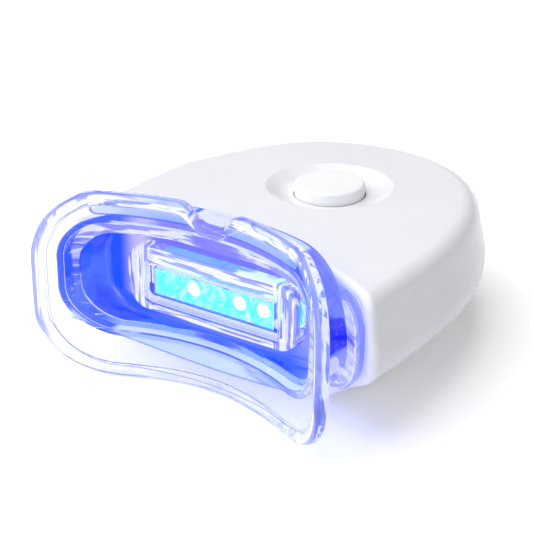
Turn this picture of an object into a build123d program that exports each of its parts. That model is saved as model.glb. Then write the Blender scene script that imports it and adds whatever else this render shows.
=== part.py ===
from build123d import *
import os
from math import atan2, cos, degrees, pi, sin, sqrt

# Teeth whitening lamp, in millimetres. The lip shield, the collar and the front of the housing are
# concentric about one vertical line, the arch axis, which is x = 0, y = 0 while the lamp is being built.
# The user is on the -Y side, and z = 0 is the flat underside of the base. Placing comes last.

# Lip shield
shield_radius = 36.0
shield_half_arc = 27.4
shield_bottom = -2.8
shield_top = 26.7
shield_wall = 1.2
shield_low_corner = 12.0
shield_high_corner = 10.7
shield_arch_rise = 0.45
rim_width = 2.0
rim_proud = 0.4
rim_round = 0.8
notch_half_width = 5.4
notch_depth = 2.7
notch_spread = 0.4

# Duct behind the shield, and its opening
opening_half_width = 21.5
opening_bottom = 5.0
opening_top = 22.1
opening_low_corner = 7.0
opening_high_corner = 5.5
duct_wall = 1.4
duct_reach = 7.0
duct_rear_half_width = 23.4
duct_shoulder = 11.0
duct_rear_round = 0.8
duct_start_y = 28.0
duct_full_y = 35.5
ledge_depth = 1.6
ledge_step = 0.7
ledge_drop = 2.2
cavity_round = 1.0
back_wall_y = 37.7

# Collar against the housing
collar_half_width = 26.0
collar_bottom = 3.6
collar_top = 19.2
collar_low_corner = 8.5
collar_high_corner = 4.5
collar_thickness = 1.8
collar_gap = 0.1
collar_round = 0.5
hollow_half_width = 19.0
hollow_bottom = 7.6
hollow_corner = 3.0

# Housing
front_radius = 44.3
housing_half_width = 27.4
widest_y = 50.8
tail_length = 38.8
tail_power = 2.19
side_sweep = 220.0
crease_z = 16.8
crown_z = 20.6
crown_y = 64.0
crown_radius = 1200.0
wall = 1.6
top_draft = 12.0
top_round = 2.6
front_round = 1.0
bulge_out = 0.7
bulge_z = 13.4
waist_out = 0.3
waist_z = 8.4
hip_in = 5.5
hip_z = 3.6
heel_in = 8.8
heel_z = 1.0
sole_in = 10.0
waist_lift = 0.1
hip_lift = 0.5
heel_lift = 0.9
lip_height = 0.8
lip_gap = 0.05
lip_room = 0.6

# Push button, its dish and its switch
button_y = 66.9
button_radius = 5.5
button_gap = 0.2
button_travel = 1.0
button_proud = 1.95
button_edge = 0.45
dish_radius = 10.2
dish_depth = 1.5
dish_floor_radius = 5.9
catch_width = 0.9
catch_height = 1.0
catch_play = 0.1
stem_radius = 1.7
cap_wall = 1.1

# Light nose
lens_half_width = 15.1
lens_bottom = 8.15
lens_top = 18.4
lens_corner = 3.5
lens_front_y = 35.6
lens_gap = 0.1
lens_edge = 0.4
lens_side_lap = 1.1
lens_low_lap = 0.25
lens_high_lap = 0.8
nose_half_width = lens_half_width - lens_side_lap
nose_bottom = lens_bottom + lens_low_lap
nose_top = lens_top - lens_high_lap
nose_corner = 2.0
nose_wall = 1.1
nose_gap = 0.15
nose_start_y = 39.1
nose_flange_lip = 1.4
nose_flange = 1.1
nose_flange_drop = 1.0
nose_flange_rise = 0.35
flange_gap = 0.05
ledge_lip = 1.0
ledge_thickness = 0.8
lug_width_x = 1.2
spigot_length = 0.9
spigot_gap = 0.08
recess_inset = 3.3
recess_half_width = lens_half_width - recess_inset
recess_bottom = 9.5
recess_top = 15.9
recess_depth = 0.3
pane = 0.8
pocket_half_width = 10.7
pocket_bottom = 10.7
pocket_top = 14.9
groove_width = 0.5
groove_depth = 0.6
groove_pitch = 1.0
groove_start = 0.6
groove_margin = 0.7
groove_count = 2

# Lamps
lamp_count = 5
lamp_pitch = 4.1
lamp_radius = 1.35
lamp_length = 3.0
cup_front_radius = 1.85
cup_gap = 0.12
tray_gap = 0.15
tray_start = 0.2
tray_length = 3.1
board = 1.0
board_gap = 0.2
lamp_board_gap = 0.1

# Battery, lid and well
battery_y = 62.0
cell_radius = 10.0
cell_height = 3.2
cell_gap = 0.3
cell_rim = 0.8
cell_pole = 0.25
well_wall = 1.4
shelf_thickness = 1.0
well_ring_width = 1.5
contact_room = 1.1
contact_thickness = 0.2
contact_width = 3.0
leaf_root = 5.0
leaf_bend = 1.0
leaf_touch = 3.0
leaf_tip = 4.6
leaf_curl = 0.35
spring_gap = 0.02
spring_bow = 0.75
spring_ramp = 1.4
spring_foot = 0.35
spring_knee = 0.8
lid_radius = 12.0
lid_gap = 0.15
lid_recess = 0.2
lid_thickness = 1.55
lid_cell_gap = 0.15
lid_turn = 40.0
lug_reach = 1.2
lug_height = 0.6
lug_gap = 0.08
lug_angle = 28.0
lug_count = 3
lid_ring_inset = 0.1
seal_inset = 0.2
slot_length = 15.0
slot_width = 1.8
slot_depth = 0.8
lug_room = 0.3
seal_thickness = 0.7
seal_gap = 0.02

# Main board and what it carries
board_half_width = 17.0
board_front_y = 48.4
board_rear_y = 75.2
board_corner = 1.5
switch_side = 6.0
switch_height = 3.6
plunger_radius = 1.6
plunger_gap = 0.05
plunger_guide = 0.3
plunger_proud = 1.3
chip_size = (4.9, 3.9, 1.5)
chip_place = (-8.5, 57.0)
chip_leg = 0.2
chip_pitch = 1.27
chip_foot = 1.0
chip_legs = 4
buzzer_radius = 4.5
buzzer_height = 3.4
buzzer_place = (9.5, 57.5)
buzzer_hole = 0.8
capacitor_radius = 2.0
capacitor_height = 3.2
capacitor_place = (-10.5, 66.0)
resistor_size = (2.0, 1.25, 0.55)
resistor_place = (8.5, 67.2)
resistor_pitch = 2.4
resistor_count = 4
wire_radius = 0.45
wire_x = 3.0
wire_z = 13.2
wire_end_y = 51.5
wire_bend = 1.9

# Fasteners
screw_radius = 1.0
screw_head_radius = 1.8
screw_head_height = 1.2
head_round = 0.3
cross_span = 1.1
cross_width = 0.28
screw_clearance = 0.15
screw_depth = 2.2
screw_length = 9.0
pillar_radius = 2.3
pillar_bottom_z = 8.3
screw_front_x = 13.6
screw_front_y = 49.6
screw_rear_y = 77.5
boss_radius = 2.7
boss_gap = 0.05
pilot_gap = 0.02
cut_out_gap = 0.4
board_screw_x = 13.4
board_screw_y = 72.2
board_screw_radius = 0.8
board_screw_head = 1.5
board_screw_head_height = 0.9
board_screw_length = 4.5
post_radius = 2.1

# Cutting tools
reach = 120.0
overrun = 1.0
blank = 10.0
tolerance = 0.01


def cosd(angle):
    return round(cos(angle * pi / 180), 12)


def sind(angle):
    return round(sin(angle * pi / 180), 12)


def front_plane(y):
    return Plane(origin=(0, y, 0), x_dir=(1, 0, 0), z_dir=(0, -1, 0))


def panel(half_width, bottom, top, low_corner, high_corner):
    """An upright outline, rounded more or less at its lower and upper corners."""
    low_x = half_width - low_corner
    high_x = half_width - high_corner
    low_z = bottom + low_corner
    high_z = top - high_corner
    edges = [
        Line((-low_x, bottom), (low_x, bottom)),
        CenterArc((low_x, low_z), low_corner, 270, 90),
        Line((half_width, low_z), (half_width, high_z)),
        CenterArc((high_x, high_z), high_corner, 0, 90),
        Line((high_x, top), (-high_x, top)),
        CenterArc((-high_x, high_z), high_corner, 90, 90),
        Line((-half_width, high_z), (-half_width, low_z)),
        CenterArc((-low_x, low_z), low_corner, 180, 90),
    ]
    return make_face(Wire(edges))


def slab(outline, y_from, y_to):
    """The outline drawn out along Y."""
    return extrude(front_plane(y_to) * outline, amount=y_to - y_from)


def shell(inner, outer):
    """A tall tube about the arch axis."""
    return Cylinder(outer, reach) - Cylinder(inner, reach)


def upright(x, y, bottom, top, radius):
    return Pos(x, y, (bottom + top) / 2) * Cylinder(radius, top - bottom)


def upright_ring(x, y, bottom, top, inner, outer):
    return upright(x, y, bottom, top, outer) - upright(x, y, bottom - overrun, top + overrun, inner)


def block(x_size, y_from, y_to, bottom, top, x=0.0):
    centre = Pos(x, (y_from + y_to) / 2, (bottom + top) / 2)
    return centre * Box(x_size, y_to - y_from, top - bottom)


def rod(x, z, y_from, y_to, radius):
    """A round bar along Y."""
    return extrude(front_plane(y_to) * Pos(x, z) * Circle(radius), amount=y_to - y_from)


# Lip shield

def seen(arc, z):
    """A place on the shield seen from the front, by its distance round the arch and its height."""
    return (shield_radius * sin(arc / shield_radius), 0, z)


def quarter_turn(centre_arc, centre_z, radius, start):
    """A rounded corner of the shield, a quarter circle on the curved sheet, seen from the front."""
    points = []
    for step in range(5):
        angle = start + 22.5 * step
        points.append(seen(centre_arc + radius * cosd(angle), centre_z + radius * sind(angle)))
    return Spline(points, tangents=[(-sind(start), 0, cosd(start)), (-cosd(start), 0, -sind(start))])


def shield_outline(inset):
    """The lip shield seen from the front, with its edge drawn in by inset along the sheet."""
    half = shield_half_arc - inset
    bottom = shield_bottom + inset
    top = shield_top - inset
    low = shield_low_corner - inset
    high = shield_high_corner - inset
    low_arc = half - low
    high_arc = half - high
    mouth = notch_half_width + inset * notch_spread
    arch = [(0.0, 1.0), (0.5, 0.5), (1.0, 0.0)]
    foot = [seen(low_arc * u, bottom + shield_arch_rise * v) for u, v in arch]
    dip = [(1.0, 0.0), (0.72, 0.2), (0.5, 0.64), (0.28, 0.94), (0.0, 1.0)]
    notch = [seen(mouth * u, top - notch_depth * v) for u, v in dip]
    curves = [
        Spline(foot, tangents=[(1, 0, 0), (1, 0, 0)]),
        quarter_turn(low_arc, bottom + low, low, 270),
        Line(seen(half, bottom + low), seen(half, top - high)),
        quarter_turn(high_arc, top - high, high, 0),
        Line(seen(high_arc, top), seen(mouth, top)),
        Spline(notch, tangents=[(-1, 0, 0), (-1, 0, 0)]),
    ]
    right = [edge for curve in curves for edge in curve.edges()]
    left = [mirrored for edge in right for mirrored in mirror(edge, Plane.YZ).edges()]
    return make_face(Wire(right + left))


def curved_sheet(outlines, inner_radius, thickness):
    """A sheet bent about the arch axis, its edges square to it. A second outline is its hole."""
    prisms = [extrude(outline, amount=reach, dir=(0, 1, 0)) for outline in outlines]
    solid = prisms[0] - prisms[1] if len(prisms) > 1 else prisms[0]
    solid = solid & Cylinder(inner_radius, reach)
    rounds = solid.faces().filter_by(GeomType.CYLINDER)
    face = rounds.sort_by(lambda f: f.area)[-1]
    return thicken(face, amount=thickness)


def make_shield():
    """The thin sheet of the lip shield with its thick round rim."""
    sheet = curved_sheet([shield_outline(rim_width / 2)], shield_radius, shield_wall)
    inner = shield_radius - rim_proud
    outer = shield_radius + shield_wall + rim_proud
    rim = curved_sheet([shield_outline(0), shield_outline(rim_width)], inner, outer - inner)
    loops = []
    for edge in rim.edges():
        middle = edge @ 0.5
        far = sqrt(middle.X ** 2 + middle.Y ** 2)
        if min(abs(far - inner), abs(far - outer)) < tolerance:
            loops.append(edge)
    return sheet + fillet(loops, rim_round)


# Mouthpiece

def duct_outline(inset):
    """The outline of the duct where it leaves the shield, drawn in by inset."""
    return panel(opening_half_width + duct_wall - inset, opening_bottom - duct_wall + inset,
                 opening_top + duct_wall - inset, opening_low_corner + duct_wall - inset,
                 opening_high_corner + duct_wall - inset)


def make_duct():
    """The duct from the shield to the collar. Its shoulders grow rounder on the way."""
    rear = panel(duct_rear_half_width, opening_bottom - duct_wall, opening_top + duct_wall,
                 opening_low_corner + duct_wall, duct_shoulder)
    taper = loft([front_plane(duct_start_y) * duct_outline(0), front_plane(duct_full_y) * rear], ruled=True)
    body = taper + slab(rear, duct_full_y, front_radius + blank)
    body = body & shell(shield_radius + shield_wall / 4, shield_radius + duct_reach)
    back = body.faces().sort_by(lambda f: f.center().Y)[-1]
    return fillet(back.edges(), duct_rear_round)


def make_collar():
    """The ring that seats on the hollow front of the housing."""
    outer = front_radius - collar_gap
    outline = panel(collar_half_width, collar_bottom, collar_top, collar_low_corner, collar_high_corner)
    body = slab(outline, 0, front_radius + blank) & shell(outer - collar_thickness, outer)
    front = body.faces().sort_by(lambda f: f.center().Y)[0]
    return fillet(front.edges(), collar_round)


def mouth_room():
    """The mouth of the duct, a ledge round it and the flat-backed cavity behind the ledge."""
    start = duct_start_y - blank
    mouth = slab(duct_outline(duct_wall), start, back_wall_y) & Cylinder(shield_radius + ledge_depth, reach)
    outline = panel(opening_half_width - ledge_step, opening_bottom + ledge_step, opening_top - ledge_drop,
                    opening_low_corner - ledge_step, opening_high_corner - ledge_step)
    cavity = slab(outline, start, back_wall_y)
    back = cavity.faces().sort_by(Axis.Y)[-1]
    return mouth + fillet(back.edges(), cavity_round)


def window_outline(gap):
    """The outline of the light window, gap larger all round."""
    return panel(lens_half_width + gap, lens_bottom - gap, lens_top + gap, lens_corner, lens_corner)


def make_mouthpiece():
    body = make_shield() + make_duct() + make_collar() - mouth_room()
    body = body - slab(window_outline(lens_gap), back_wall_y - overrun, front_radius + blank)
    hollow = panel(hollow_half_width, hollow_bottom, lens_top + lens_gap, hollow_corner, lens_corner)
    return body - slab(hollow, nose_start_y, front_radius + blank)


# Light nose

def nose_outline(grow):
    corner = nose_corner + grow
    return panel(nose_half_width + grow, nose_bottom - grow, nose_top + grow, corner, corner)


def make_nose_housing():
    wall_back = front_radius + wall + flange_gap
    flange_back = wall_back + nose_flange
    body = slab(nose_outline(0), nose_start_y, front_radius + blank) & Cylinder(flange_back, reach)
    outline = panel(nose_half_width + nose_flange_lip, nose_bottom - nose_flange_drop,
                    nose_top + nose_flange_rise, nose_corner, nose_corner)
    flange = slab(outline, nose_start_y - blank, front_radius + blank) & shell(wall_back, flange_back)
    body = body + flange - slab(nose_outline(-nose_wall), nose_start_y - blank, front_radius + blank)
    ledge_y = lamp_board_y() + board + flange_gap
    ledge = slab(nose_outline(-nose_wall / 2), ledge_y, ledge_y + ledge_thickness)
    inside = nose_wall + ledge_lip
    hole = block(2 * (nose_half_width - inside), ledge_y - overrun, ledge_y + ledge_thickness + overrun,
                 nose_bottom + inside, nose_top - inside)
    return body + (ledge - hole)


def lens_grooves():
    """Upright grooves beside the window, at both ends."""
    cuts = []
    for side in (-1, 1):
        for count in range(groove_count):
            x = side * (recess_half_width + groove_start + groove_pitch * count)
            cuts.append(block(groove_width, lens_front_y - overrun, lens_front_y + groove_depth,
                              recess_bottom + groove_margin, recess_top + groove_margin, x))
    return cuts


def make_nose_lens():
    body = slab(window_outline(0), lens_front_y, nose_start_y)
    front = body.faces().sort_by(Axis.Y)[0]
    body = fillet(front.edges(), lens_edge)
    recess = panel(recess_half_width, recess_bottom, recess_top, lens_edge, lens_edge)
    body = body - slab(recess, lens_front_y - overrun, lens_front_y + recess_depth)
    for cut in lens_grooves():
        body = body - cut
    pocket_y = lens_front_y + recess_depth + pane
    body = body - block(2 * pocket_half_width, pocket_y, nose_start_y + overrun, pocket_bottom, pocket_top)
    inside = nose_half_width - nose_wall - spigot_gap
    bottom = nose_bottom + nose_wall + spigot_gap
    top = nose_top - nose_wall - spigot_gap
    for side in (-1, 1):
        x = side * (inside - lug_width_x / 2)
        body = body + block(lug_width_x, nose_start_y - overrun / 2, nose_start_y + spigot_length,
                            bottom + nose_corner, top - nose_corner, x)
    return body


# Lamps

def tray_y():
    return lens_front_y + recess_depth + pane + tray_start


def lamp_board_y():
    return tray_y() + tray_length + lamp_board_gap


def lamp_z():
    return (pocket_bottom + pocket_top) / 2


def lamp_xs():
    return [lamp_pitch * (count - (lamp_count - 1) / 2) for count in range(lamp_count)]


def make_reflector():
    start = tray_y()
    body = block(2 * (pocket_half_width - tray_gap), start, start + tray_length,
                 pocket_bottom + tray_gap, pocket_top - tray_gap)
    for x in lamp_xs():
        wide = front_plane(start) * Pos(x, lamp_z()) * Circle(cup_front_radius)
        narrow = front_plane(start + tray_length) * Pos(x, lamp_z()) * Circle(lamp_radius + cup_gap)
        body = body - loft([wide, narrow])
    return body


def make_leds():
    lamps = []
    for x in lamp_xs():
        neck = lamp_board_y() - lamp_length + lamp_radius
        dome = Pos(x, neck, lamp_z()) * Sphere(lamp_radius)
        lamps.append(rod(x, lamp_z(), neck, lamp_board_y(), lamp_radius) + dome)
    return Compound(children=lamps)


def make_led_board():
    half = nose_half_width - nose_wall - board_gap
    bottom = nose_bottom + nose_wall + board_gap
    top = nose_top - nose_wall - board_gap
    outline = panel(half, bottom, top, nose_wall, nose_wall)
    return slab(outline, lamp_board_y(), lamp_board_y() + board)


def make_lead(x):
    start = lamp_board_y() + board
    top = board_z() + board
    path = FilletPolyline((x, start, wire_z), (x, wire_end_y, wire_z), (x, wire_end_y, top),
                          radius=wire_bend)
    return sweep(Plane(path @ 0, z_dir=path % 0) * Circle(wire_radius), path)


# Housing

def plan(grow, z):
    """The housing's outline from above at one height, grown by grow all round."""
    half = housing_half_width + grow
    tail = tail_length + grow
    power = 2 / tail_power
    points = []
    for step in range(9):
        across = cosd(22.5 * step)
        along = sind(22.5 * step)
        x = half * abs(across) ** power * (1 if across > 0 else -1)
        points.append((x if step != 4 else 0.0, widest_y + tail * abs(along) ** power))
    rear = Spline(points, tangents=[(0, 1), (0, -1)])
    front_y = front_radius / 2
    middle_y = (front_y + widest_y) / 2
    front_x = half - side_sweep + sqrt(side_sweep ** 2 - (widest_y - front_y) ** 2)
    middle_x = half - side_sweep + sqrt(side_sweep ** 2 - (widest_y - middle_y) ** 2)
    left = ThreePointArc((-half, widest_y), (-middle_x, middle_y), (-front_x, front_y))
    front = Line((-front_x, front_y), (front_x, front_y))
    right = ThreePointArc((front_x, front_y), (middle_x, middle_y), (half, widest_y))
    return Plane.XY.offset(z) * make_face(Wire([rear, left, front, right]))


def front_edges(form, bottom, top):
    """The edges of a form's hollow front face, apart from those on its lower and upper ends."""
    found = []
    for edge in form.edges():
        middle = edge @ 0.5
        on_front = abs(sqrt(middle.X ** 2 + middle.Y ** 2) - front_radius) < tolerance
        if on_front and bottom < middle.Z < top:
            found.append(edge)
    return found


def lower_form(inset, edge_round=0.0):
    """The closed form of the lower housing, every wall drawn in by inset."""
    stations = [
        (-sole_in, inset),
        (-heel_in, heel_z + inset * heel_lift),
        (-hip_in, hip_z + inset * hip_lift),
        (waist_out, waist_z + inset * waist_lift),
        (bulge_out, bulge_z),
        (0, crease_z),
    ]
    body = loft([plan(grow - inset, z) for grow, z in stations])
    body = body - Cylinder(front_radius + inset, reach)
    if edge_round:
        body = fillet(front_edges(body, -overrun, crease_z - tolerance), edge_round)
    return body


def upper_form(inset, top_edge_round=0.0, edge_round=0.0):
    """The closed form of the upper housing, crowned and rounded along its edge."""
    rise = 2 * (crown_z - crease_z)
    drawn_in = rise * sind(top_draft) / cosd(top_draft)
    body = loft([plan(-inset, crease_z), plan(-inset - drawn_in, crease_z + rise)], ruled=True)
    ball = Pos(0, crown_y, crown_z - inset - crown_radius) * Rot(90, 0, 0) * Sphere(crown_radius)
    body = body & ball
    if top_edge_round:
        top = body.faces().sort_by(Axis.Z)[-1]
        rims = [edge for edge in top.edges() if (edge @ 0.5).Y > front_radius / 2 + tolerance]
        body = fillet(rims, top_edge_round)
    body = body - Cylinder(front_radius + inset, reach)
    if edge_round:
        body = fillet(front_edges(body, crease_z + tolerance, crown_z), edge_round)
    return body


def lip_band(outer, inner, height):
    """A band on the parting line, between two depths in from the outside of the housing."""
    whole = extrude(plan(-outer, crease_z), amount=height) - Cylinder(front_radius + outer, reach)
    core = extrude(plan(-inner, crease_z), amount=height) - Cylinder(front_radius + inner, reach)
    return whole - core


def dish_cut():
    """The shallow round dish that the push button stands in."""
    base = crown_z - dish_depth
    curve = Spline([(dish_floor_radius, base), (dish_radius, crown_z)], tangents=[(1, 0), (1, 0.25)])
    edges = [
        Line((0, base), (dish_floor_radius, base)),
        curve,
        Line((dish_radius, crown_z), (dish_radius, crown_z + blank)),
        Line((dish_radius, crown_z + blank), (0, crown_z + blank)),
        Line((0, crown_z + blank), (0, base)),
    ]
    profile = Plane.XZ * make_face(Wire(edges))
    return Pos(0, button_y, 0) * revolve(profile, Axis.Z)


def housing_screw_places():
    return [(-screw_front_x, screw_front_y), (screw_front_x, screw_front_y), (0, screw_rear_y)]


def board_screw_places():
    return [(-board_screw_x, board_screw_y), (board_screw_x, board_screw_y)]


def nose_slot():
    return slab(nose_outline(nose_gap), nose_start_y - overrun, front_radius + wall + overrun)


def board_z():
    return cell_floor_z() + 2 * cell_height + contact_room


def cell_floor_z():
    return lid_recess + lid_thickness + lid_cell_gap


def make_upper_housing():
    dish_floor = crown_z - dish_depth
    body = upper_form(0, top_round, front_round) - upper_form(wall)
    body = body + upright(0, button_y, dish_floor - wall, crown_z - wall / 4, dish_radius + wall / 4)
    for x, y in housing_screw_places():
        body = body + upright(x, y, pillar_bottom_z, crown_z - wall, pillar_radius)
    body = body - dish_cut()
    body = body - upright(0, button_y, crease_z, crown_z + overrun, button_radius + button_gap)
    for x, y in housing_screw_places():
        tip = screw_depth + screw_length + screw_clearance
        body = body - upright(x, y, pillar_bottom_z - overrun, tip, screw_radius + pilot_gap)
    body = body - lip_band(wall / 2, wall + lip_room, lip_height + lip_gap)
    return body - nose_slot()


def shelf_z():
    return wall + lug_gap + lug_height + seal_gap + seal_thickness


def make_lower_housing():
    body = lower_form(0, front_round) - lower_form(wall)
    body = body + lip_band(wall / 2 + lip_gap, wall, lip_height)
    inner = cell_radius + cell_gap
    ring_inner = lid_radius + lug_reach + lug_room
    ring_outer = ring_inner + well_ring_width
    shelf = shelf_z()
    well = upright_ring(0, battery_y, wall / 2, shelf, ring_inner, ring_outer)
    well = well + upright_ring(0, battery_y, shelf, shelf + shelf_thickness, inner, ring_outer)
    body = body + well + upright_ring(0, battery_y, shelf, board_z(), inner, inner + well_wall)
    within = lower_form(wall / 2)
    for x, y in housing_screw_places():
        body = body + (upright(x, y, wall / 2, pillar_bottom_z - boss_gap, boss_radius) & within)
    for x, y in board_screw_places():
        body = body + (upright(x, y, wall / 2, board_z(), post_radius) & within)
    body = body - upright(0, battery_y, -overrun, wall + overrun, lid_radius + lid_gap)
    for notch in lid_lugs(lug_room / 2, -overrun, wall + lug_gap / 2, lid_turn):
        body = body - notch
    half = contact_width / 2 + cell_gap
    slot = block(inner, battery_y - half, battery_y + half, contact_foot_z() - cell_gap,
                 board_z() + overrun)
    body = body - Pos(-inner / 2 - well_wall - cell_gap, 0, 0) * slot
    for x, y in housing_screw_places():
        body = body - upright(x, y, -overrun, screw_depth, screw_head_radius + screw_clearance)
        body = body - upright(x, y, -overrun, pillar_bottom_z, screw_radius + screw_clearance)
    for x, y in board_screw_places():
        tip = board_z() + board - board_screw_length - screw_clearance
        body = body - upright(x, y, tip, board_z() + overrun, board_screw_radius + pilot_gap)
    return body - nose_slot()


# Push button and switch

def switch_top_z():
    return board_z() + board + switch_height


def make_button_cap():
    dish_floor = crown_z - dish_depth
    top = dish_floor + button_proud
    catch_top = dish_floor - wall - catch_play
    catch_bottom = catch_top - catch_height
    cap = upright(0, button_y, catch_bottom, top, button_radius)
    cap = fillet(cap.faces().sort_by(Axis.Z)[-1].edges(), button_edge)
    catch = upright(0, button_y, catch_bottom, catch_top, button_radius + button_gap + catch_width)
    body = cap + catch
    body = body - upright(0, button_y, catch_bottom - overrun, top - wall, button_radius - cap_wall)
    return body + upright(0, button_y, switch_top_z() + plunger_proud, top - wall / 2, stem_radius)


def make_switch_body():
    half = switch_side / 2
    body = block(switch_side, button_y - half, button_y + half, board_z() + board, switch_top_z())
    depth = plunger_guide + button_travel + plunger_gap
    return body - upright(0, button_y, switch_top_z() - depth, switch_top_z() + overrun,
                          plunger_radius + plunger_gap)


def make_switch_plunger():
    return upright(0, button_y, switch_top_z() - plunger_guide, switch_top_z() + plunger_proud,
                   plunger_radius)


# Main board and what it carries

def make_main_board():
    body = block(2 * board_half_width, board_front_y, board_rear_y, board_z(), board_z() + board)
    body = fillet(body.edges().filter_by(Axis.Z), board_corner)
    for x, y in housing_screw_places():
        body = body - upright(x, y, board_z() - overrun, board_z() + board + overrun,
                              pillar_radius + cut_out_gap)
    for x, y in board_screw_places():
        body = body - upright(x, y, board_z() - overrun, board_z() + board + overrun,
                              board_screw_radius + screw_clearance)
    return body


def make_timer_chip():
    x, y = chip_place
    length, width, height = chip_size
    base = board_z() + board
    lift = chip_leg
    body = block(length, y - width / 2, y + width / 2, base + lift, base + lift + height, x)
    for side in (-1, 1):
        for count in range(chip_legs):
            leg_x = x + chip_pitch * (count - (chip_legs - 1) / 2)
            inner = y + side * width / 2
            outer = inner + side * chip_foot
            foot = block(chip_leg * 2, min(inner, outer), max(inner, outer), base, base + lift, leg_x)
            knee = block(chip_leg * 2, min(inner, inner + side * chip_leg),
                         max(inner, inner + side * chip_leg), base, base + lift + height / 2, leg_x)
            body = body + foot + knee
    return body


def make_buzzer():
    x, y = buzzer_place
    base = board_z() + board
    body = upright(x, y, base, base + buzzer_height, buzzer_radius)
    return body - upright(x, y, base + buzzer_height / 2, base + buzzer_height + overrun, buzzer_hole)


def make_capacitor():
    x, y = capacitor_place
    base = board_z() + board
    body = upright(x, y, base, base + capacitor_height, capacitor_radius)
    return fillet(body.faces().sort_by(Axis.Z)[-1].edges(), button_edge)


def make_resistors():
    length, width, height = resistor_size
    base = board_z() + board
    x, y = resistor_place
    chips = []
    for count in range(resistor_count):
        middle = y + resistor_pitch * (count - (resistor_count - 1) / 2)
        chips.append(block(length, middle - width / 2, middle + width / 2, base, base + height, x))
    return Compound(children=chips)


# Battery, contacts, lid and seal

def make_cell(level):
    """A coin cell: a can with a chamfered foot and a smaller pole face on top."""
    bottom = cell_floor_z() + level * cell_height
    pole = upright(0, battery_y, bottom, bottom + cell_height, cell_radius - cell_rim)
    can = upright(0, battery_y, bottom, bottom + cell_height - cell_pole, cell_radius)
    can = chamfer(can.faces().sort_by(Axis.Z)[0].edges(), cell_pole)
    return can + pole


def make_contact_negative():
    """A leaf under the board, bent down on to the upper cell."""
    top = board_z()
    low = top - contact_room
    t = contact_thickness
    y = battery_y
    points = [(y - leaf_root, top), (y - leaf_root, top - t), (y - leaf_bend, top - t),
              (y + leaf_touch, low), (y + leaf_tip, low + leaf_curl),
              (y + leaf_tip, low + leaf_curl + t), (y + leaf_touch, low + t),
              (y - leaf_bend + t, top)]
    profile = Plane.YZ * make_face(Polyline(points, close=True))
    return extrude(profile, amount=contact_width / 2, both=True)


def contact_foot_z():
    return cell_floor_z() + cell_height * spring_foot


def make_contact_positive():
    """A spring strip down the side of the well, bent in to the can of the lower cell."""
    t = contact_thickness
    near = cell_radius + spring_gap
    far = near + spring_bow
    foot = contact_foot_z()
    knee = cell_floor_z() + cell_height * spring_knee
    top = board_z()
    points = [(-near, foot), (-near, knee), (-far, knee + spring_ramp), (-far, top),
              (-far - t, top), (-far - t, knee + spring_ramp), (-near - t, knee), (-near - t, foot)]
    profile = Plane.XZ * make_face(Polyline(points, close=True))
    return Pos(0, battery_y, 0) * extrude(profile, amount=contact_width / 2, both=True)


def lid_lugs(grow, bottom, top, turn):
    """The bayonet lugs of the lid, or, grown and turned, the notches that let them in."""
    outer = lid_radius + lug_reach + grow
    spread = lug_angle + 2 * grow / outer * 180 / pi
    lugs = []
    for count in range(lug_count):
        start = 360 / lug_count * count + turn - spread / 2
        sector = Cylinder(outer, top - bottom, arc_size=spread,
                          align=(Align.NONE, Align.NONE, Align.CENTER))
        lug = Pos(0, battery_y, (bottom + top) / 2) * Rot(0, 0, start) * sector
        lugs.append(lug - upright(0, battery_y, bottom - overrun, top + overrun, lid_radius - overrun))
    return lugs


def make_battery_lid():
    plate_top = lid_recess + lid_thickness
    ring_top = wall + lug_gap + lug_height
    body = upright(0, battery_y, lid_recess, plate_top, lid_radius)
    body = body + upright_ring(0, battery_y, plate_top - lid_ring_inset, ring_top,
                               cell_radius + cell_gap, lid_radius - lid_ring_inset)
    for lug in lid_lugs(0, wall + lug_gap, ring_top, 0):
        body = body + lug
    half = slot_width / 2
    slot = block(slot_length - slot_width, battery_y - half, battery_y + half, lid_recess - overrun,
                 lid_recess + slot_depth)
    for side in (-1, 1):
        slot = slot + upright(side * (slot_length - slot_width) / 2, battery_y, lid_recess - overrun,
                              lid_recess + slot_depth, half)
    return body - slot


def make_lid_seal():
    top = shelf_z()
    return upright_ring(0, battery_y, top - seal_thickness, top, cell_radius + 2 * cell_gap,
                        lid_radius - seal_inset)


# Fasteners

def screw(x, y, head_z, radius, head_radius, head_height, length, way):
    """A pan-head screw with a cross recess. The shank runs from head_z, up (way 1) or down (way -1)."""
    shank_end = head_z + way * length
    head_end = head_z - way * head_height
    shank = upright(x, y, min(head_z, shank_end), max(head_z, shank_end), radius)
    head = upright(x, y, min(head_z, head_end), max(head_z, head_end), head_radius)
    ends = head.faces().sort_by(Axis.Z)
    outer = ends[0] if way > 0 else ends[-1]
    head = fillet(outer.edges(), head_height * head_round)
    low = head_end - head_height / 2
    high = head_end + head_height / 2
    bar = head_radius * cross_span
    arm = head_radius * cross_width
    cross = block(bar, y - arm / 2, y + arm / 2, low, high, x)
    cross = cross + block(arm, y - bar / 2, y + bar / 2, low, high, x)
    return shank + head - cross


def make_housing_screws():
    screws = []
    for x, y in housing_screw_places():
        screws.append(screw(x, y, screw_depth, screw_radius, screw_head_radius, screw_head_height,
                            screw_length, 1))
    return Compound(children=screws)


def make_board_screws():
    screws = []
    for x, y in board_screw_places():
        screws.append(screw(x, y, board_z() + board, board_screw_radius, board_screw_head,
                            board_screw_head_height, board_screw_length, -1))
    return Compound(children=screws)


# The whole lamp

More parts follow.
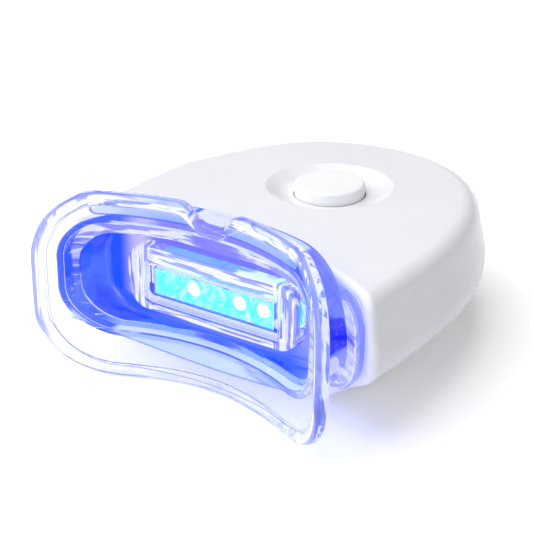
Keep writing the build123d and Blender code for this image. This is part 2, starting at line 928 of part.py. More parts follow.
makers = {
    "mouthpiece": make_mouthpiece,
    "nose_housing": make_nose_housing,
    "nose_lens": make_nose_lens,
    "reflector": make_reflector,
    "leds": make_leds,
    "led_board": make_led_board,
    "lead_red": lambda: make_lead(-wire_x),
    "lead_black": lambda: make_lead(wire_x),
    "upper_housing": make_upper_housing,
    "lower_housing": make_lower_housing,
    "button_cap": make_button_cap,
    "switch_body": make_switch_body,
    "switch_plunger": make_switch_plunger,
    "main_board": make_main_board,
    "timer_chip": make_timer_chip,
    "buzzer": make_buzzer,
    "capacitor": make_capacitor,
    "resistors": make_resistors,
    "coin_cell_lower": lambda: make_cell(0),
    "coin_cell_upper": lambda: make_cell(1),
    "contact_negative": make_contact_negative,
    "contact_positive": make_contact_positive,
    "battery_lid": make_battery_lid,
    "lid_seal": make_lid_seal,
    "housing_screws": make_housing_screws,
    "board_screws": make_board_screws,
}


def rest_tilt():
    """The lamp stands on the two lower lobes of the shield and on the heel of its base."""
    lobe_arc = shield_half_arc - shield_low_corner
    lobe_y = (shield_radius + shield_wall) * cos(lobe_arc / shield_radius)
    heel_y = widest_y + tail_length - sole_in
    return degrees(atan2(-shield_bottom, heel_y - lobe_y))


def main():
    os.makedirs("parts", exist_ok=True)
    tilt = rest_tilt()
    pieces = {name: Rot(-tilt, 0, 0) * make() for name, make in makers.items()}
    boxes = [piece.bounding_box() for piece in pieces.values()]
    shift_y = -(min(box.min.Y for box in boxes) + max(box.max.Y for box in boxes)) / 2
    shift_z = -min(box.min.Z for box in boxes)
    for name, piece in pieces.items():
        export_step(Pos(0, shift_y, shift_z) * piece, f"parts/{name}.step")
    print("tilt", round(tilt, 4), "shift", round(shift_y, 4), round(shift_z, 4))


if __name__ == "__main__":
    main()
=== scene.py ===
import math

import bpy
from mathutils import Euler, Matrix, Vector

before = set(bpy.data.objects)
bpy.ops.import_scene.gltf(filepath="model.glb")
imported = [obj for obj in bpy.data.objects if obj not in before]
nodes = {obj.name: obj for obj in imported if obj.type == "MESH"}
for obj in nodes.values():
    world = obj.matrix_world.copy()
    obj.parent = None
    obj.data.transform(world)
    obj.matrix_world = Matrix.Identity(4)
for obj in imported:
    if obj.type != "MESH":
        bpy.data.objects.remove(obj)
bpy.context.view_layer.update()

MM = 0.001

# The lamp lies tilted, on its shield and its heel. The materials use its own upright axes, in millimetres.
TILT = math.radians(3.5021)
SHIFT = Vector((0, -58.6775, 4.8682)) * MM
LEAN = Matrix.Rotation(-TILT, 3, "X")

# Photograph's view, in the lamp's own upright axes
AZIMUTH = math.radians(35.16)
ELEVATION = math.radians(24.22)
DISTANCE = 211.4 * MM
AIM = (6.38, 40.706, 17.89)
LENS = 100.94
SENSOR = 36.0

# Upright outlines on the lamp: half width, bottom, top, lower corner and upper corner
SHIELD = (27.4, -2.8, 26.7, 12.0, 10.7)
OPENING = (21.5, 5.0, 22.1, 7.0, 5.5)
COLLAR = (26.0, 3.6, 19.2, 8.5, 4.5)
WINDOW = (11.8, 9.5, 15.9, 0.4, 0.4)
PANEL = (8.2, 23.3, 26.0, 1.0, 1.6)
PANEL_MIDDLE = 9.9

# Notch over the lip fold: half its width and depth, and where the panels beside it begin
NOTCH_HALF_WIDTH = 5.6
NOTCH_DEPTH = 2.7
NOTCH_SIDE = 2.3
NOTCH_SLOPE = 0.75
NOTCH_FOOT = 23.4

# Strip of the duct's wall under the mouth: its lower edge in the middle, and how that edge rises outwards
STRIP_FOOT = 1.5
STRIP_CURVE = 0.0118

# Blue side of the duct: its middle height, how its rear edge curves there, and its lower end
SIDE_MIDDLE = 13.0
SIDE_CURVE = 0.21
SIDE_FOOT = 12.2

# Distances from the arch's axis, and depths along the lamp
ARCH_RADIUS = 37.0
SHEET_FRONT = 36.0
SHEET_BACK = 37.5
RIM_WIDTH = 2.0
CAVITY_BACK = 37.7
COLLAR_FRONT = 42.4
LENS_FRONT = 36.2
NOSE_FRONT = 39.2

# Lamps in their row: height, pitch and the three that burn brighter
LAMP_Z = 12.8
LAMP_PITCH = 4.1
BRIGHT_LAMPS = (-1, 1, 2)

# Studio: the floor's own light and where it rises to full white, in metres from its middle, and how much of
# the white air is kept from matt and from glossy rays
FLOOR_SIZE = 6.0
FLOOR_LIFT = 0.27
FLOOR_RISE = (0.2, 0.9)
DIFFUSE_CUT = 0.79
GLOSS_CUT = 0.55
TABLE = (0, 0, 0)
LAMP_MIDDLE = (0, 0, 0.01)

# Panels of light: name, place, aim, size, power in watts, and whether gloss shows them
PANELS = (
    ("overhead", (-0.16, -0.08, 0.74), TABLE, (0.7, 0.7), 2.1, True),
    ("overhead_soft", (-0.16, -0.08, 0.745), TABLE, (0.7, 0.7), 3.4, False),
    ("left_window", (-0.75, -0.25, 0.35), LAMP_MIDDLE, (0.6, 0.5), 2.6, True),
    ("front_fill", (0.25, -0.9, 0.35), LAMP_MIDDLE, (0.7, 0.4), 2.3, True),
)

# The lamps' own light, which falls through the mouthpiece on the floor
GLOW_PLACE = (0, 34.5, LAMP_Z)
GLOW_TURN = math.radians(-62)
GLOW_SIZE = (22 * MM, 5 * MM)
GLOW_POWER = 0.0038
GLOW_COLOUR = (0.16, 0.20, 1.0)


def in_frame(x, y, z):
    """A point of the lamp's own upright axes, in millimetres, as a point of the frame."""
    return LEAN @ (Vector((x, y, z)) * MM) + SHIFT


def rgb(red, green, blue):
    """A colour written as it shows on a screen, 0 to 255, as the linear colour of a socket."""
    parts = []
    for value in (red, green, blue):
        part = value / 255
        parts.append(part / 12.92 if part <= 0.04045 else ((part + 0.055) / 1.055) ** 2.4)
    return (*parts, 1.0)


# Colours that are used more than once
WHITE = (1, 1, 1, 1)
BLACK = (0, 0, 0, 1)
BOARD_GREEN = rgb(24, 92, 52)
# Painted glow: the lamps' blue light on the clear mouthpiece, deep in the mouth and along its edges
MOUTH_GLOW_BLUE = rgb(30, 84, 242)
EDGE_GLOW_BLUE = rgb(44, 92, 240)


class Nodes:
    """A node tree that starts empty, with short calls for the nodes used here."""

    def __init__(self, tree):
        self.tree = tree
        tree.nodes.clear()

    def node(self, kind, settings=None, **inputs):
        made = self.tree.nodes.new("ShaderNode" + kind)
        for key, value in (settings or {}).items():
            setattr(made, key, value)
        for key, value in inputs.items():
            self.feed(made, key.replace("_", " "), value)
        return made

    def feed(self, made, socket, value):
        target = made.inputs[int(socket)] if socket.isdigit() else made.inputs[socket]
        if isinstance(value, bpy.types.NodeSocket):
            self.tree.links.new(value, target)
        elif isinstance(value, bpy.types.Node):
            self.tree.links.new(value.outputs[0], target)
        else:
            target.default_value = value

    def in_order(self, made, *values):
        """Feeds a node's sockets from the first on."""
        for number, value in enumerate(values):
            self.feed(made, str(number), value)
        return made

    def math(self, operation, *values):
        return self.in_order(self.node("Math", {"operation": operation}), *values).outputs[0]

    def product(self, *values):
        made = values[0]
        for value in values[1:]:
            made = self.math("MULTIPLY", made, value)
        return made

    def most(self, *values):
        made = values[0]
        for value in values[1:]:
            made = self.math("MAXIMUM", made, value)
        return made

    def length(self, a, b):
        return self.math("SQRT", self.math("ADD", self.product(a, a), self.product(b, b)))

    def smooth(self, value, low, high):
        """0 below low, 1 above high and smooth between them. It falls instead where low is the larger."""
        made = self.node("MapRange", {"interpolation_type": "SMOOTHSTEP", "clamp": True}, Value=value)
        falls = low > high
        self.feed(made, "From Min", min(low, high))
        self.feed(made, "From Max", max(low, high))
        self.feed(made, "To Min", 1.0 if falls else 0.0)
        self.feed(made, "To Max", 0.0 if falls else 1.0)
        return made.outputs["Result"]

    def band(self, value, low, high, soft):
        """1 between two values and 0 outside them, with soft edges."""
        return self.product(self.smooth(value, low - soft, low), self.smooth(value, high + soft, high))

    def blend(self, factor, a, b):
        made = self.node("Mix", {"data_type": "RGBA", "clamp_factor": True})
        self.feed(made, "0", factor)
        self.feed(made, "6", a)
        self.feed(made, "7", b)
        return made.outputs[2]

    def ramp(self, value, tone, *steps):
        """A tone that changes along a value. Each step holds its start, its end and its tone."""
        for start, end, next_tone in steps:
            tone = self.blend(self.smooth(value, start, end), tone, next_tone)
        return tone

    def noise(self, vector, scale, detail=2.0, roughness=0.5):
        made = self.node("TexNoise", Vector=vector, Scale=scale, Detail=detail, Roughness=roughness)
        return made.outputs["Fac"]

    def uneven(self, middle, noise, spread):
        """A value that wanders round its middle with a noise."""
        return self.math("ADD", middle, self.product(self.math("SUBTRACT", noise, 0.5), spread))

    def bump(self, height, strength, depth):
        """Relief, with its depth in millimetres."""
        return self.node("Bump", Height=height, Strength=strength, Distance=depth * MM).outputs[0]

    def mix(self, factor, a, b):
        """Surface a, and surface b where the factor is 1."""
        return self.in_order(self.node("MixShader"), factor, a, b)


class Shader(Nodes):
    """A material."""

    def __init__(self, name):
        self.material = bpy.data.materials.new(name)
        self.material.use_nodes = True
        super().__init__(self.material.node_tree)

    def finish(self, surface):
        self.node("OutputMaterial", Surface=surface)
        return self.material


class BodyShader(Shader):
    """A material on the lamp, which knows the place in the lamp's own upright axes, in millimetres."""

    def __init__(self, name):
        super().__init__(name)
        back = Matrix.Rotation(TILT, 3, "X") @ SHIFT
        turned = self.node("Mapping", Vector=self.node("TexCoord").outputs["Object"], Rotation=(TILT, 0, 0),
                           Scale=(1 / MM,) * 3, Location=-back / MM)
        self.place = turned.outputs[0]
        self.x, self.y, self.z = self.node("SeparateXYZ", Vector=self.place).outputs
        self.wide = self.math("ABSOLUTE", self.x)
        self.far = self.length(self.x, self.y)

    def along_arch(self, *stretch):
        """A place for streaks round the arch: distance round it, height and distance from its axis."""
        turn = self.math("MULTIPLY", self.math("ARCTAN2", self.x, self.y), ARCH_RADIUS)
        parts = [self.product(value, scale) for value, scale in zip((turn, self.z, self.far), stretch)]
        return self.in_order(self.node("CombineXYZ"), *parts).outputs[0]

    def outside(self, outline, x=None, z=None):
        """How far a place lies outside a rounded upright outline, less than 0 inside it."""
        half_width, bottom, top, low_corner, high_corner = outline
        x = self.x if x is None else x
        z = self.z if z is None else z
        middle = (bottom + top) / 2
        is_high = self.math("GREATER_THAN", z, middle)
        corner = self.math("ADD", low_corner, self.product(is_high, high_corner - low_corner))
        over = self.math("ADD", self.math("SUBTRACT", self.math("ABSOLUTE", x), half_width), corner)
        height = self.math("ABSOLUTE", self.math("SUBTRACT", z, middle))
        above = self.math("ADD", self.math("SUBTRACT", height, top - middle), corner)
        reach = self.length(self.most(over, 0.0), self.most(above, 0.0))
        return self.math("SUBTRACT", reach, corner)

    def glass(self, tone, edge, roughness, normal):
        """Clear plastic, a little blue where it is seen along its surface."""
        facing = self.node("LayerWeight", Blend=0.5).outputs["Facing"]
        tint = self.blend(self.math("POWER", facing, 4.0), tone, edge)
        return self.node("BsdfPrincipled", Base_Color=tint, Roughness=roughness, Normal=normal,
                         Transmission_Weight=1.0, IOR=1.46)

    def lit_glass(self, glass, tone, cover, tint):
        """Clear plastic with a painted glow in the given tone where cover is 1, and hardly casts a shadow.
        """
        glow = self.node("BsdfPrincipled", Base_Color=self.blend(0.5, tone, BLACK), Roughness=0.12,
                         Emission_Color=tone, Emission_Strength=0.6, Coat_Weight=0.3)
        through = self.node("BsdfTransparent", Color=tint)
        is_shadow = self.node("LightPath").outputs["Is Shadow Ray"]
        return self.finish(self.mix(is_shadow, self.mix(cover, glass, glow), through))


class Mouthpiece(BodyShader):
    """Clear plastic that carries the lamps' light, painted on it: the mouth is flooded with a painted blue
    glow and the rim stays clear.

    It is built up in layers of painted glow and painted highlights. Each has an area, the tone that shows
    there and how far it hides the glass.
    """

    def __init__(self):
        super().__init__("clear_mouthpiece")
        self.ripple = self.noise(self.place, 0.16)
        self.streaks = self.noise(self.along_arch(0.07, 0.5, 0.5), 1.0, 3.0, 0.55)
        self.glints = self.noise(self.along_arch(0.16, 1.3, 0.9), 1.0, 3.0, 0.6)
        self.opening = self.outside(OPENING)
        self.in_mouth = self.smooth(self.opening, 0.25, 0.0)
        self.on_front = self.smooth(self.far, SHEET_FRONT + 0.45, SHEET_FRONT + 0.2)
        self.on_sheet = self.smooth(self.far, SHEET_BACK + 0.5, SHEET_BACK + 0.3)
        self.behind_sheet = self.smooth(self.far, SHEET_BACK, SHEET_BACK + 0.5)
        self.duct_side = self.product(self.behind_sheet, self.smooth(self.wide, 15.0, 17.0),
                                      self.smooth(self.opening, 0.9, 1.2))

    def layer(self, area, tone, share=1.0):
        self.tone = self.blend(area, self.tone, tone)
        self.cover = self.most(self.cover, self.product(area, share))
        return area

    def cavity(self):
        """The first layer is the room behind the mouth, with its end walls and its flat back, in a painted
        blue glow of the lamps, with a painted pale lilac glow on the back, left of the middle.
        """
        end_tone = self.ramp(self.ripple, rgb(20, 70, 238), (0.38, 0.62, rgb(52, 104, 248)))
        end_tone = self.ramp(self.x, end_tone, (14.0, 19.0, rgb(106, 126, 250)))
        back_tone = self.ramp(self.x, MOUTH_GLOW_BLUE, (-18.5, -14.5, rgb(202, 192, 255)),
                              (-14.5, -11.0, rgb(122, 120, 250)))
        back_tone = self.ramp(self.z, back_tone, (9.5, 8.2, rgb(58, 98, 248)))
        back_tone = self.ramp(self.x, back_tone, (12.0, 17.0, rgb(128, 146, 250)))
        room = self.product(self.in_mouth, self.smooth(self.far, SHEET_BACK + 0.2, SHEET_BACK + 0.6))
        back = self.product(self.in_mouth, self.smooth(self.y, CAVITY_BACK - 0.35, CAVITY_BACK - 0.1),
                            self.smooth(self.y, CAVITY_BACK + 0.5, CAVITY_BACK + 0.2))
        self.tone = self.ramp(self.y, end_tone, (CAVITY_BACK - 0.5, CAVITY_BACK - 0.1, back_tone))
        self.cover = self.most(back, self.product(room, 0.93))
        return self.most(room, back)

    def mouth_edge(self):
        """The wall of the mouth, its round lip on the left, and the ledge behind it: a painted blue glow,
        paler to the right, with painted pale glints high on the ledge.
        """
        wall = self.product(self.band(self.opening, -0.1, 0.1, 0.1),
                            self.band(self.far, SHEET_FRONT + 0.1, SHEET_BACK, 0.1))
        self.layer(wall, self.ramp(self.x, rgb(34, 88, 242), (-16.4, -15.2, rgb(196, 214, 255))), 0.9)
        lip = self.product(self.on_sheet, self.band(self.opening, 0.1, 0.75, 0.1),
                           self.smooth(self.x, -15.2, -15.8))
        self.layer(lip, MOUTH_GLOW_BLUE, 0.88)
        ledge = self.product(self.in_mouth, self.band(self.far, SHEET_BACK - 0.05, SHEET_BACK + 0.2, 0.08),
                             self.smooth(self.y, CAVITY_BACK - 0.15, CAVITY_BACK - 0.4))
        low_tone = self.ramp(self.x, rgb(26, 86, 240), (-19.0, -15.0, rgb(134, 170, 252)))
        high_tone = self.ramp(self.glints, rgb(140, 142, 250), (0.46, 0.56, rgb(236, 238, 255)))
        self.layer(ledge, self.ramp(self.z, low_tone, (14.0, 18.0, high_tone)), 0.85)

    def strip_below(self):
        """A pale curved strip of painted glow on the sheet's front under the mouth, bluer along its lower
        edge, in place of the lit wall of the duct seen through the sheet.
        """
        lower_edge = self.math("ADD", STRIP_FOOT, self.product(self.x, self.x, STRIP_CURVE))
        above_edge = self.math("SUBTRACT", self.z, lower_edge)
        strip = self.product(self.on_front, self.smooth(self.opening, 0.15, 0.4),
                             self.smooth(above_edge, -0.1, 0.15), self.smooth(self.z, 9.5, 7.5),
                             self.smooth(self.wide, 21.4, 20.6))
        tone = self.ramp(self.x, rgb(164, 194, 252), (-16.0, -4.0, rgb(186, 210, 255)),
                         (4.0, 14.0, rgb(116, 156, 252)))
        self.layer(strip, self.ramp(above_edge, tone, (0.45, 0.2, rgb(92, 128, 250))), 0.72)

    def panels(self):
        """Panels of painted pale blue glow on the sheet's front on either side of the notch, where the roof
        of the duct shows through the sheet, with a painted blue glow along their edges.
        """
        panel = self.outside(PANEL, x=self.math("SUBTRACT", self.wide, PANEL_MIDDLE))
        above_foot = self.math("SUBTRACT", self.z, NOTCH_FOOT)
        notch_side = self.math("ADD", NOTCH_SIDE, self.product(above_foot, NOTCH_SLOPE))
        panel = self.most(panel, self.math("SUBTRACT", notch_side, self.wide))
        tone = self.ramp(self.x, rgb(206, 220, 255), (-20.0, -6.0, rgb(146, 176, 250)))
        tone = self.ramp(panel, tone, (-0.42, -0.2, EDGE_GLOW_BLUE))
        return self.layer(self.product(self.on_front, self.smooth(panel, 0.05, -0.05)), tone, 0.78)

    def roof(self):
        """The roof of the duct behind the sheet: a painted pale glow in streaks, paler in the notch, with a
        painted blue glow along its edges.
        """
        roof = self.product(self.behind_sheet, self.smooth(self.opening, 1.0, 1.25),
                            self.smooth(self.z, 18.5, 20.5),
                            self.smooth(self.far, COLLAR_FRONT + 0.5, COLLAR_FRONT + 0.2))
        rear_edge = self.smooth(self.far, COLLAR_FRONT - 0.5, COLLAR_FRONT - 0.1)
        notch_edge = self.band(self.wide, NOTCH_HALF_WIDTH, NOTCH_HALF_WIDTH + 0.4, 0.5)
        edge = self.product(self.most(rear_edge, notch_edge),
                            self.smooth(self.wide, NOTCH_HALF_WIDTH - 0.6, NOTCH_HALF_WIDTH))
        in_notch = self.smooth(self.wide, NOTCH_HALF_WIDTH + 0.4, NOTCH_HALF_WIDTH - 0.6)
        tone = self.ramp(self.streaks, rgb(160, 186, 250), (0.35, 0.65, rgb(196, 214, 255)))
        tone = self.blend(in_notch, tone, rgb(222, 228, 252))
        self.layer(roof, self.blend(edge, tone, EDGE_GLOW_BLUE), 0.9)

    def side(self):
        """The sides of the duct behind the sheet, deep blue from the lamps, with a round rear edge."""
        rise = self.product(self.math("SUBTRACT", self.z, SIDE_MIDDLE), SIDE_CURVE)
        rear_edge = self.math("SUBTRACT", COLLAR_FRONT + 0.3, self.product(rise, rise))
        past_edge = self.math("SUBTRACT", self.far, rear_edge)
        side = self.product(self.duct_side, self.smooth(past_edge, 0.1, -0.25),
                            self.smooth(self.z, SIDE_FOOT, SIDE_FOOT + 0.6),
                            self.smooth(self.z, 22.5, 21.5))
        return self.layer(side, self.ramp(self.glints, rgb(12, 24, 236), (0.56, 0.68, rgb(60, 84, 250))))

    def rim(self, panel):
        """The round rim: a thin line of painted blue glow along both its edges, and painted pale highlights
        and painted blue glow in streaks between them.
        """
        arc = self.product(self.math("ARCTAN2", self.x, self.y), SHEET_FRONT)
        in_notch = self.smooth(self.math("ABSOLUTE", arc), NOTCH_HALF_WIDTH, 0.4)
        dip = self.product(in_notch, self.smooth(self.z, 18.0, 21.0), NOTCH_DEPTH)
        shield = self.outside(SHIELD, x=arc, z=self.math("ADD", self.z, dip))
        rim = self.product(self.on_sheet, self.smooth(shield, -RIM_WIDTH - 0.1, 0.1 - RIM_WIDTH))
        outer_line = self.smooth(shield, -0.26, -0.1)
        inner_line = self.band(shield, 0.08 - RIM_WIDTH, 0.16 - RIM_WIDTH, 0.07)
        lines = self.product(self.most(outer_line, inner_line),
                             self.smooth(self.far, SHEET_FRONT + 0.5, SHEET_FRONT + 0.2))
        upright = self.noise(self.along_arch(1.1, 0.13, 1.3), 1.0)
        # Painted streaks: glint-like in the middle and upright at the sides, from painted white highlights
        # to painted blue glow
        grain_and_glints = self.blend(self.smooth(self.wide, 14.0, 19.0), self.glints, upright)
        tone = self.ramp(grain_and_glints, rgb(246, 248, 255), (0.50, 0.60, rgb(98, 122, 250)))
        right_or_high = self.most(self.smooth(self.z, 1.0, 7.0), self.smooth(self.x, -2.0, 2.0))
        streaked = self.product(right_or_high, self.smooth(shield, -0.85, -0.35),
                                self.smooth(self.wide, 8.0, 18.0))
        share = self.most(self.math("ADD", 0.12, self.product(streaked, 0.56)), self.product(lines, 0.62))
        self.tone = self.blend(rim, self.tone, self.blend(lines, tone, rgb(112, 124, 246)))
        self.cover = self.most(self.cover, self.product(rim, share, self.math("SUBTRACT", 1.0, panel)))
        return rim

    def collar(self):
        """The collar, and the duct's side under the blue: clear, with painted white glints, grey patches of
        painted shade and a painted blue glow along and beyond the collar's outline.
        """
        foot = self.product(self.duct_side, self.smooth(self.z, SIDE_FOOT + 0.2, SIDE_FOOT - 0.2),
                            self.smooth(self.far, COLLAR_FRONT + 0.1, COLLAR_FRONT - 0.1))
        foot_tone = self.ramp(self.streaks, rgb(150, 154, 200), (0.48, 0.54, rgb(240, 242, 255)))
        collar = self.product(self.smooth(self.far, COLLAR_FRONT - 0.1, COLLAR_FRONT + 0.1),
                              self.smooth(self.opening, 0.2, 0.5))
        collar_tone = self.ramp(self.glints, rgb(150, 156, 236), (0.40, 0.52, rgb(247, 248, 255)))
        collar_tone = self.ramp(self.outside(COLLAR), collar_tone, (-0.5, -0.25, rgb(128, 136, 248)))
        return self.most(self.layer(foot, foot_tone, 0.6), self.layer(collar, collar_tone, 0.6))

    def break_up(self, plain):
        """Painted pale glints and dark streaks of painted reflection break through the tones, but not where
        these are plain.
        """
        rest = self.math("SUBTRACT", 1.0, plain)
        pale = self.product(self.smooth(self.glints, 0.60, 0.72), rest, 0.8)
        dark = self.product(self.smooth(self.streaks, 0.42, 0.34), rest, 0.5)
        self.tone = self.blend(pale, self.tone, rgb(222, 226, 255))
        self.tone = self.blend(dark, self.tone, rgb(28, 44, 226))

    def build(self):
        cavity = self.cavity()
        self.mouth_edge()
        self.strip_below()
        panel = self.panels()
        self.roof()
        side = self.side()
        rim = self.rim(panel)
        collar = self.collar()
        self.break_up(self.most(cavity, panel, side, rim, collar))
        glass = self.glass(rgb(249, 250, 255), rgb(96, 104, 248), 0.02, self.bump(self.ripple, 0.35, 0.25))
        return self.lit_glass(glass, self.tone, self.cover, rgb(236, 238, 255))


def clear_lens():
    """The clear window in front of the lamps, whose thick frame catches their light: a painted glow in blue
    and painted pale highlights, in streaks.
    """
    s = BodyShader("clear_lens")
    outside_window = s.smooth(s.outside(WINDOW), 0.0, 0.3)
    lens_frame = s.product(outside_window, s.smooth(s.y, LENS_FRONT + 0.4, LENS_FRONT))
    lens_frame = s.most(lens_frame, s.smooth(s.z, 17.9, 18.2))
    ribs = s.noise(s.along_arch(1.7, 0.12, 0.2), 1.0)
    bars = s.noise(s.along_arch(0.10, 1.6, 0.3), 1.0)
    streaks = s.blend(s.smooth(s.wide, 10.6, 11.4), bars, ribs)
    tone = s.ramp(streaks, rgb(120, 124, 246), (0.44, 0.52, rgb(244, 244, 255)))
    ripple = s.bump(s.noise(s.place, 0.5), 0.3, 0.12)
    glass = s.glass(rgb(248, 249, 255), rgb(150, 156, 252), 0.015, ripple)
    return s.lit_glass(glass, tone, s.product(lens_frame, 0.72), rgb(240, 244, 255))


def lit_reflector():
    """The bright tray of the lamps, flooded with cyan light."""
    s = BodyShader("lit_reflector")
    streak = s.noise(s.along_arch(1.3, 0.35, 0.5), 1.0, 3.0, 0.65)
    tone = s.ramp(streak, rgb(28, 206, 232), (0.36, 0.50, rgb(74, 244, 255)),
                  (0.52, 0.64, rgb(176, 255, 255)))
    return s.finish(s.node("BsdfPrincipled", Base_Color=tone, Roughness=0.25, Metallic=0.4,
                           Emission_Color=tone, Emission_Strength=0.8))


def lamp_glass():
    """The lamps' clear domes. Three of them burn brighter."""
    s = BodyShader("lamp_glass")
    tone = s.ramp(s.noise(s.place, 0.8), rgb(60, 240, 255), (0.4, 0.7, rgb(150, 255, 255)))
    height = s.math("SUBTRACT", s.z, LAMP_Z)
    bright = 0.0
    for number in BRIGHT_LAMPS:
        away = s.length(s.math("SUBTRACT", s.x, LAMP_PITCH * number), height)
        bright = s.math("ADD", bright, s.smooth(away, 1.5, 0.3))
    tone = s.blend(bright, tone, WHITE)
    return s.finish(s.node("BsdfPrincipled", Base_Color=tone, Roughness=0.1, Emission_Color=tone,
                           Emission_Strength=s.math("ADD", 0.8, s.product(bright, 2.4))))


def blue_nose():
    """Blue plastic with a painted glow of the lamps' light through it, and a pale painted glow where its
    front edge meets the window.
    """
    s = BodyShader("blue_nose")
    tone = s.ramp(s.noise(s.place, 0.25), rgb(8, 20, 215), (0.35, 0.65, rgb(30, 60, 245)))
    tone = s.ramp(s.y, tone, (NOSE_FRONT + 0.3, NOSE_FRONT, rgb(206, 208, 255)))
    return s.finish(s.node("BsdfPrincipled", Base_Color=tone, Roughness=0.2, Emission_Color=tone,
                           Emission_Strength=0.5))


def lamp_board():
    """The lamps' own board: white, with a painted lilac glow of the lamps' light on the lamps' side, and
    green behind.
    """
    s = BodyShader("lamp_board")
    normal = s.node("SeparateXYZ", Vector=s.node("NewGeometry").outputs["Normal"])
    front = s.smooth(normal.outputs[1], -0.4, -0.7)
    pale = s.ramp(s.noise(s.place, 1.2, 3.0), rgb(206, 206, 252), (0.35, 0.65, rgb(230, 232, 255)))
    return s.finish(s.node("BsdfPrincipled", Base_Color=s.blend(front, BOARD_GREEN, pale), Roughness=0.35,
                           Emission_Color=pale, Emission_Strength=s.product(front, 0.35)))


def moulded(name, colour, other, rough, grain_and_glints=0.004, coat=0.0, scale=2.2):
    """Moulded plastic: a faint change of tone, a fine grain and a slightly uneven gloss."""
    s = BodyShader(name)
    tone = s.ramp(s.noise(s.place, 0.045, 3.0), colour, (0.35, 0.65, other))
    fine = s.noise(s.place, scale, 4.0, 0.6)
    return s.finish(s.node("BsdfPrincipled", Base_Color=tone, Roughness=s.uneven(rough, fine, 0.06),
                           Normal=s.bump(fine, 0.25, grain_and_glints), IOR=1.49,
                           Coat_Weight=coat, Coat_Roughness=0.08))


def metal(name, colour, other, rough, stretch=(1, 1, 1)):
    """Drawn or plated metal with fine brushing."""
    s = BodyShader(name)
    lines = s.noise(s.node("Mapping", Vector=s.place, Scale=stretch), 3.0, 4.0, 0.6)
    tone = s.ramp(lines, colour, (0.3, 0.7, other))
    return s.finish(s.node("BsdfPrincipled", Base_Color=tone, Roughness=s.uneven(rough, lines, 0.2),
                           Normal=s.bump(lines, 0.2, 0.01), Metallic=1.0))


def board():
    """Green board with paler tracks."""
    s = BodyShader("board")
    cell = s.node("TexVoronoi", {"feature": "DISTANCE_TO_EDGE"}, Vector=s.place, Scale=0.35)
    track = s.smooth(cell.outputs["Distance"], 0.09, 0.05)
    tone = s.blend(track, BOARD_GREEN, rgb(58, 138, 84))
    relief = s.bump(track, 0.3, 0.03)
    return s.finish(s.node("BsdfPrincipled", Base_Color=tone, Roughness=0.35, Normal=relief))


def dress():
    white = moulded("housing_white", rgb(238, 239, 243), rgb(235, 236, 241), rough=0.24, grain_and_glints=0.002,
                    coat=0.25)
    cap = moulded("button_white", rgb(247, 248, 250), rgb(243, 244, 247), rough=0.34, coat=0.1, scale=3.5)
    black = moulded("black_plastic", rgb(38, 38, 40), rgb(30, 30, 33), rough=0.5)
    pale = moulded("white_plastic", rgb(228, 228, 222), rgb(220, 220, 214), rough=0.4)
    steel = metal("steel", rgb(206, 208, 212), rgb(188, 190, 195), rough=0.3, stretch=(1, 6, 1))
    brass = metal("contact_brass", rgb(226, 202, 140), rgb(206, 180, 118), rough=0.3, stretch=(1, 1, 6))
    worn = {
        "mouthpiece": Mouthpiece().build(),
        "nose_lens": clear_lens(),
        "nose_housing": blue_nose(),
        "reflector": lit_reflector(),
        "leds": lamp_glass(),
        "led_board": lamp_board(),
        "main_board": board(),
        "lead_red": moulded("lead_red", rgb(206, 44, 36), rgb(190, 36, 30), rough=0.45),
        "lead_black": black,
        "upper_housing": white,
        "lower_housing": white,
        "battery_lid": white,
        "button_cap": cap,
        "switch_body": black,
        "switch_plunger": pale,
        "timer_chip": black,
        "buzzer": black,
        "capacitor": metal("can_aluminium", rgb(214, 216, 218), rgb(198, 200, 204), rough=0.35),
        "resistors": black,
        "coin_cell_lower": steel,
        "coin_cell_upper": steel,
        "contact_negative": brass,
        "contact_positive": brass,
        "lid_seal": moulded("seal_rubber", rgb(48, 48, 52), rgb(40, 40, 44), rough=0.7),
        "housing_screws": steel,
        "board_screws": steel,
    }
    for name, material in worn.items():
        for slot in nodes[name].material_slots:
            slot.material = material


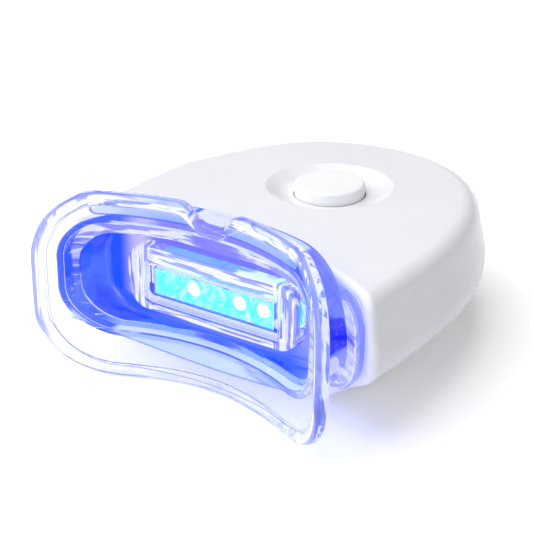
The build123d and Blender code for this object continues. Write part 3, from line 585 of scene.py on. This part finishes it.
def white_floor():
    """A pale floor that shows white, with the lamp's shadow on it. It is clear when seen from below."""
    bpy.ops.mesh.primitive_plane_add(size=FLOOR_SIZE, location=TABLE)
    floor = bpy.context.object
    floor.name = "floor"
    s = Shader("floor_white")
    paper = s.node("BsdfDiffuse", Color=rgb(236, 236, 238))
    path = s.node("LightPath")
    seen = s.most(*(path.outputs[f"Is {kind} Ray"] for kind in ("Camera", "Glossy", "Transmission")))
    away = s.node("VectorMath", {"operation": "LENGTH"})
    s.feed(away, "0", s.node("TexCoord").outputs["Object"])
    rise = s.product(s.smooth(away.outputs["Value"], *FLOOR_RISE), 1 - FLOOR_LIFT)
    lift = s.node("Emission", Color=WHITE, Strength=s.product(seen, s.math("ADD", FLOOR_LIFT, rise)))
    both = s.in_order(s.node("AddShader"), paper, lift)
    from_below = s.node("NewGeometry").outputs["Backfacing"]
    floor.data.materials.append(s.finish(s.mix(from_below, both, s.node("BsdfTransparent"))))


def area_light(name, place, turn, size, power, colour=(1, 1, 1)):
    light = bpy.data.lights.new(name, "AREA")
    light.shape = "RECTANGLE"
    light.size, light.size_y = size
    light.energy = power
    light.color = colour
    made = bpy.data.objects.new(name, light)
    made.location = place
    made.rotation_euler = turn
    bpy.context.scene.collection.objects.link(made)
    return made


def studio():
    for name, place, aim, size, power, in_gloss in PANELS:
        turn = (Vector(aim) - Vector(place)).to_track_quat("-Z", "Y").to_euler()
        area_light(name, place, turn, size, power).visible_glossy = in_gloss
    world = bpy.data.worlds.new("studio")
    world.use_nodes = True
    s = Nodes(world.node_tree)
    path = s.node("LightPath").outputs
    matt = s.product(path["Is Diffuse Ray"], DIFFUSE_CUT)
    glossy = s.product(path["Is Glossy Ray"], GLOSS_CUT)
    air = s.node("Background", Color=WHITE, Strength=s.math("SUBTRACT", 1.0, s.math("ADD", matt, glossy)))
    s.node("OutputWorld", Surface=air)
    bpy.context.scene.world = world


def lamp_light():
    area_light("lamps", in_frame(*GLOW_PLACE), Euler((GLOW_TURN, 0, 0)), GLOW_SIZE, GLOW_POWER, GLOW_COLOUR)


def camera():
    lens = bpy.data.cameras.new("camera")
    lens.lens = LENS
    lens.sensor_width = SENSOR
    lens.clip_start = 0.01
    lens.clip_end = 10
    made = bpy.data.objects.new("camera", lens)
    back = Vector((math.sin(AZIMUTH) * math.cos(ELEVATION),
                   -math.cos(AZIMUTH) * math.cos(ELEVATION),
                   math.sin(ELEVATION)))
    made.location = in_frame(*AIM) + LEAN @ back * DISTANCE
    made.rotation_euler = (LEAN @ back.to_track_quat("Z", "Y").to_matrix()).to_euler()
    bpy.context.scene.collection.objects.link(made)
    bpy.context.scene.camera = made


dress()
white_floor()
studio()
lamp_light()
camera()

scene = bpy.context.scene
scene.view_settings.view_transform = "Standard"
scene.cycles.max_bounces = 24
scene.cycles.transmission_bounces = 24
scene.cycles.transparent_max_bounces = 16
